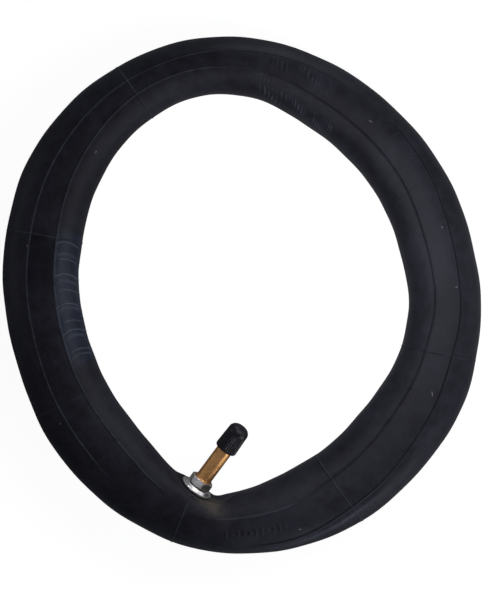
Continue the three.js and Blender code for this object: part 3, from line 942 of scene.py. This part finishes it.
class Nodes:
    """Shorthand for a material's node tree, which ends in one Principled shader."""

    def __init__(self, name, **settings):
        self.material = bpy.data.materials.new(name)
        self.material.use_nodes = True
        self.tree = self.material.node_tree
        self.shader = self.tree.nodes["Principled BSDF"]
        for socket, value in settings.items():
            self.shader.inputs[socket.replace("_", " ")].default_value = value
        self.place = self.add("TexCoord").outputs["Object"]

    def add(self, kind, **settings):
        """A new shader node of a kind, with some of its inputs set."""
        node = self.tree.nodes.new("ShaderNode" + kind)
        for socket, value in settings.items():
            node.inputs[socket].default_value = value
        return node

    def link(self, source, target):
        self.tree.links.new(source, target)

    def put(self, source, socket):
        self.link(source, self.shader.inputs[socket])

    def stretched(self, scale):
        """The object's coordinates times a scale for each axis."""
        node = self.add("Mapping", Scale=scale)
        self.link(self.place, node.inputs["Vector"])
        return node.outputs["Vector"]

    def noise(self, scale, detail=3, roughness=0.5, where=None):
        node = self.add("TexNoise", Scale=scale, Detail=detail, Roughness=roughness)
        self.link(where or self.place, node.inputs["Vector"])
        return node.outputs["Fac"]

    def attribute(self, name):
        node = self.add("Attribute")
        node.attribute_name = name
        return node.outputs["Fac"]

    def spread(self, value, low, high, to_low, to_high):
        """value between low and high, mapped to between to_low and to_high."""
        node = self.add("MapRange")
        for socket, setting in zip((1, 2, 3, 4), (low, high, to_low, to_high)):
            node.inputs[socket].default_value = setting
        self.link(value, node.inputs[0])
        return node.outputs[0]

    def maths(self, operation, one, other):
        node = self.add("Math")
        node.operation = operation
        for socket, value in zip(node.inputs, (one, other)):
            if isinstance(value, (int, float)):
                socket.default_value = value
            else:
                self.link(value, socket)
        return node.outputs[0]

    def mix(self, share, one, other):
        """A colour between two, each a colour or a socket."""
        node = self.add("Mix")
        node.data_type = "RGBA"
        colours = [s for s in node.inputs if s.type == "RGBA"]
        for socket, value in zip(colours, (one, other)):
            if isinstance(value, tuple):
                socket.default_value = (*value, 1)
            else:
                self.link(value, socket)
        self.link(share, node.inputs[0])
        return next(s for s in node.outputs if s.type == "RGBA")

    def bumps(self, height, distance):
        """A bump whose height of 1 stands distance metres proud, on top of any before."""
        node = self.add("Bump", Strength=1, Distance=distance)
        self.link(height, node.inputs["Height"])
        before = self.shader.inputs["Normal"]
        if before.is_linked:
            self.link(before.links[0].from_socket, node.inputs["Normal"])
        self.link(node.outputs["Normal"], before)


def tube_rubber():
    """Black butyl with a cloudy bloom, specks, grain, and marks painted on the mesh, painted
    shade and highlight among them.
    """
    sheen = {"Sheen_Weight": 0.05, "Sheen_Roughness": 0.5, "Sheen_Tint": (0.7, 0.75, 0.9, 1)}
    n = Nodes("tube_rubber", IOR=1.5, Specular_Tint=(0.86, 0.88, 1, 1), **sheen)
    cloud = n.noise(26, 4, 0.6)
    mottle = n.noise(190, 6, 0.7)
    bloom = n.spread(n.maths("MULTIPLY", cloud, mottle), 0.17, 0.34, 0, 1)
    colour = n.mix(bloom, BUTYL, BLOOM)
    specks = n.spread(n.noise(1300, 2, 0.5), 0.66, 0.74, 0, 0.35)
    colour = n.mix(specks, colour, SPECK)
    # painted shade: the moulded lines and the darker stretch of crown go towards near black
    shade = n.maths("MULTIPLY", n.attribute("shade"), SHADE_DARKNESS)
    dark = n.maths("MAXIMUM", shade, n.attribute("seam"))
    colour = n.mix(dark, colour, PAINTED_SHADE)
    n.put(n.spread(dark, 0, 1, 0.22, 0.05), "Specular IOR Level")
    # the film patch goes towards a lighter blue: partly its own tint, partly painted sheen
    film_sheen = n.attribute("film_sheen")
    streak = n.spread(n.noise(170, 4, 0.6, n.stretched((2.4, 0.8, 1))), 0.36, 0.66, 0.15, 1)
    colour = n.mix(n.maths("MULTIPLY", film_sheen, streak), colour, FILM_TINT_AND_SHEEN)
    # pale crests: partly wear, partly painted highlight
    crest_paleness = n.maths("MULTIPLY", n.attribute("crest"), n.spread(mottle, 0.35, 0.6, 0.35, 1))
    colour = n.mix(crest_paleness, colour, WORN_AND_HIGHLIT)
    # a tan mark beside the washer, lighter and warmer than the rubber
    tan_mark = n.maths("MULTIPLY", n.attribute("tan_mark"), n.spread(mottle, 0.35, 0.6, 0.4, 1))
    colour = n.mix(tan_mark, colour, TAN)
    for x, y, long, turn in SCUFFS:
        colour = n.mix(scuff(n, x, y, long, turn), colour, SCUFF)
    n.put(colour, "Base Color")
    rough = n.spread(mottle, 0.3, 0.7, 0.5, 0.62)
    n.put(n.maths("SUBTRACT", rough, n.maths("MULTIPLY", film_sheen, 0.08)), "Roughness")
    n.bumps(n.noise(1500, 3, 0.6), 0.00003)
    n.bumps(n.noise(330, 3, 0.55), 0.0001)
    return n.material


def scuff(n, x, y, long, turn):
    """How strongly a short pale scuff shows, round a place in plan in millimetres."""
    run, size = (0, 0, math.radians(turn)), (long * MM, SCUFF_WIDTH * MM, 1)
    node = n.add("Mapping", Location=(x * MM, y * MM, 0), Rotation=run, Scale=size)
    node.vector_type = "TEXTURE"
    n.link(n.place, node.inputs["Vector"])
    length = n.add("VectorMath")
    length.operation = "LENGTH"
    n.link(node.outputs["Vector"], length.inputs[0])
    ragged = n.maths("ADD", length.outputs["Value"], n.spread(n.noise(2200, 2), 0, 1, -0.5, 0.5))
    return n.spread(ragged, 0.5, 1.0, 0.8, 0)


def moulded_rubber(name, colour, roughness):
    """Plain moulded rubber with a little dust."""
    n = Nodes(name, IOR=1.5)
    dust = n.spread(n.noise(420, 4, 0.6), 0.4, 0.7, 0, 1)
    n.put(n.mix(dust, colour, tuple(1.7 * c + 0.004 for c in colour)), "Base Color")
    n.put(n.spread(dust, 0, 1, roughness, roughness + 0.12), "Roughness")
    n.bumps(n.noise(2600, 2, 0.5), 0.00002)
    return n.material


def turned_metal(name, colour, dull, roughness, metallic):
    """Metal with fine rings round the valve's axis and slow patches of tarnish."""
    n = Nodes(name, Metallic=metallic)
    rings = n.noise(1, 3, 0.7, n.stretched((60, 60, 9000)))
    tarnish = n.spread(n.noise(420, 5, 0.65), 0.4, 0.7, 0, 1)
    n.put(n.mix(tarnish, colour, dull), "Base Color")
    rough = n.spread(rings, 0.3, 0.7, roughness - 0.05, roughness + 0.07)
    n.put(n.maths("ADD", rough, n.maths("MULTIPLY", tarnish, 0.08)), "Roughness")
    n.bumps(rings, 0.000012)
    n.bumps(n.noise(900, 3, 0.5), 0.000015)
    return n.material


def cap_plastic():
    """Black moulded plastic, faintly violet and unevenly matt."""
    n = Nodes("cap_plastic", IOR=1.5, Specular_IOR_Level=0.3)
    shade = n.spread(n.noise(300, 4, 0.6), 0.35, 0.7, 0, 1)
    n.put(n.mix(shade, CAP_BLACK, CAP_VIOLET), "Base Color")
    n.put(n.spread(n.noise(900, 3, 0.5), 0.3, 0.7, 0.36, 0.5), "Roughness")
    n.bumps(n.noise(2200, 3, 0.6), 0.00003)
    return n.material


def floor_material():
    """A floor that the camera sees as nearly white, with faint shadows, and that throws back
    about a third of the light."""
    n = Nodes("pale_floor", Roughness=0.9, Emission_Color=(1, 1, 1, 1))
    lit = n.mix(n.noise(300, 3, 0.5), (0.29,) * 3, (0.31,) * 3)
    seen = n.add("LightPath").outputs["Is Camera Ray"]
    n.put(n.mix(seen, lit, (0.2,) * 3), "Base Color")
    n.put(n.maths("MULTIPLY", seen, FLOOR_WHITE), "Emission Strength")
    return n.material


def wear(piece, material):
    piece.data.materials.clear()
    piece.data.materials.append(material)


def dress():
    """Builds every piece and gives each its material."""
    brass = turned_metal("brass", BRASS, DULL_BRASS, roughness=0.44, metallic=0.85)
    zinc = turned_metal("zinc_plate", ZINC, DULL_ZINC, roughness=0.26, metallic=0.95)
    steel = turned_metal("core_wire", STEEL, DULL_STEEL, roughness=0.32, metallic=1)
    black_seal = moulded_rubber("seal_black", SEAL_BLACK, roughness=0.6)
    pad = moulded_rubber("pad_black", PAD_BLACK, roughness=0.65)
    red_seal = moulded_rubber("seal_red", SEAL_RED, roughness=0.45)
    rubber = tube_rubber()
    wear(build_tube(), rubber)
    wear(build_patch(), rubber)
    wear(build_stem(), brass)
    wear(build_washer(), zinc)
    wear(build_nut(), zinc)
    wear(build_cap(), cap_plastic())
    wear(build_seal(), black_seal)
    wear(build_spring(), steel)
    kept = {
        "valve_pad": pad,
        "core_plug": brass,
        "core_barrel": brass,
        "barrel_seal": red_seal,
        "core_pin": steel,
        "spring_keeper": steel,
        "seat_cup": brass,
        "seat_seal": black_seal,
    }
    for node, material in kept.items():
        wear(frame["nodes"][node], material)


# ---------------- floor, light and camera

FLOOR_HALF = 3000  # millimetres
FLOOR_LEVEL = -0.02  # millimetres, so that the tube's foot doesn't share its plane
NEUTRAL = (1, 1, 1)
COOL = (0.95, 0.97, 1)
# Soft round lights: name, place and aim in metres, width, power and colour.
LIGHTS = (
    ("key", (0.078, 0.015, 0.18), (0.078, 0.01, 0.02), 0.16, 0.225, NEUTRAL),
    ("right", (0.42, 0.03, 0.14), (0, 0, 0.02), 0.3, 0.22, NEUTRAL),
    ("low", (0.26, -0.39, 0.12), (0.03, -0.1, 0.01), 0.2, 0.66, COOL),
    ("back", (0.12, 0.45, 0.12), (0.03, 0.1, 0.01), 0.2, 0.52, COOL),
    ("side", (-0.5, 0.12, 0.1), (-0.1, 0.02, 0.01), 0.4, 0.28, COOL),
    ("panel", (-0.45, -0.15, 0.6), (-0.02, -0.08, 0.02), 0.5, 0.16, COOL),
    ("glint", (-0.27, -0.43, 0.7), (-0.02, -0.09, 0.02), 0.2, 0.09, NEUTRAL),
)
SKY_LOW = 0.25  # the studio's brightness near the floor
SKY_HIGH = 0.05  # and from SKY_RISE of the way up
SKY_RISE = 0.7
SKY_SEEN = 0.965  # its brightness where the camera looks at it
SKY_TINT = (0.86, 0.9, 1, 1)


def area_light(name, place, aim, size, power, colour):
    data = bpy.data.lights.new(name, "AREA")
    data.shape = "DISK"
    data.size = size
    data.energy = power
    data.color = colour
    light = bpy.data.objects.new(name, data)
    light.location = place
    light.visible_camera = False
    light.rotation_euler = (Vector(aim) - Vector(place)).to_track_quat("-Z", "Y").to_euler()
    bpy.context.scene.collection.objects.link(light)


def set_stage():
    """The floor, the studio round it and its lights."""
    signs = ((-1, -1), (1, -1), (1, 1), (-1, 1))
    corners = [(x * FLOOR_HALF, y * FLOOR_HALF, FLOOR_LEVEL) for x, y in signs]
    floor = new_piece("floor", corners, [(0, 1, 2, 3)])
    wear(floor, floor_material())
    set_world()
    for light in LIGHTS:
        area_light(*light)


def set_world():
    """A dim studio that is brighter near the floor, and plain white where it is looked at."""
    world = bpy.data.worlds.new("studio")
    bpy.context.scene.world = world
    world.use_nodes = True
    tree = world.node_tree
    sky = tree.nodes["Background"]
    height = tree.nodes.new("ShaderNodeSeparateXYZ")
    tree.links.new(tree.nodes.new("ShaderNodeTexCoord").outputs["Generated"], height.inputs[0])
    level = tree.nodes.new("ShaderNodeMapRange")
    for socket, setting in zip((1, 2, 3, 4), (0, SKY_RISE, SKY_LOW, SKY_HIGH)):
        level.inputs[socket].default_value = setting
    tree.links.new(height.outputs["Z"], level.inputs[0])
    seen = tree.nodes.new("ShaderNodeLightPath").outputs["Is Camera Ray"]
    tint = tree.nodes.new("ShaderNodeMixRGB")
    tint.inputs[1].default_value = SKY_TINT
    tint.inputs[2].default_value = (1, 1, 1, 1)
    tree.links.new(seen, tint.inputs[0])
    tree.links.new(tint.outputs[0], sky.inputs["Color"])
    strength = tree.nodes.new("ShaderNodeMix")
    strength.inputs[3].default_value = SKY_SEEN
    tree.links.new(seen, strength.inputs[0])
    tree.links.new(level.outputs[0], strength.inputs[2])
    tree.links.new(strength.outputs[0], sky.inputs["Strength"])


def set_camera():
    """Straight above, a little off the ring's middle, with +Y up the picture."""
    view_height = 0.2913
    distance = 3.0
    middle = (0.0013, -0.0022)
    data = bpy.data.cameras.new("camera")
    data.sensor_fit = "VERTICAL"
    data.sensor_height = 24
    data.lens = data.sensor_height * distance / view_height
    camera = bpy.data.objects.new("camera", data)
    half_height = 0.5 * CAD_BOX[1][2]
    camera.location = (*middle, half_height + distance)
    bpy.context.scene.collection.objects.link(camera)
    bpy.context.scene.camera = camera


dress()
set_stage()
set_camera()
bpy.context.scene.view_settings.view_transform = "Standard"

bpy.context.view_layer.update()
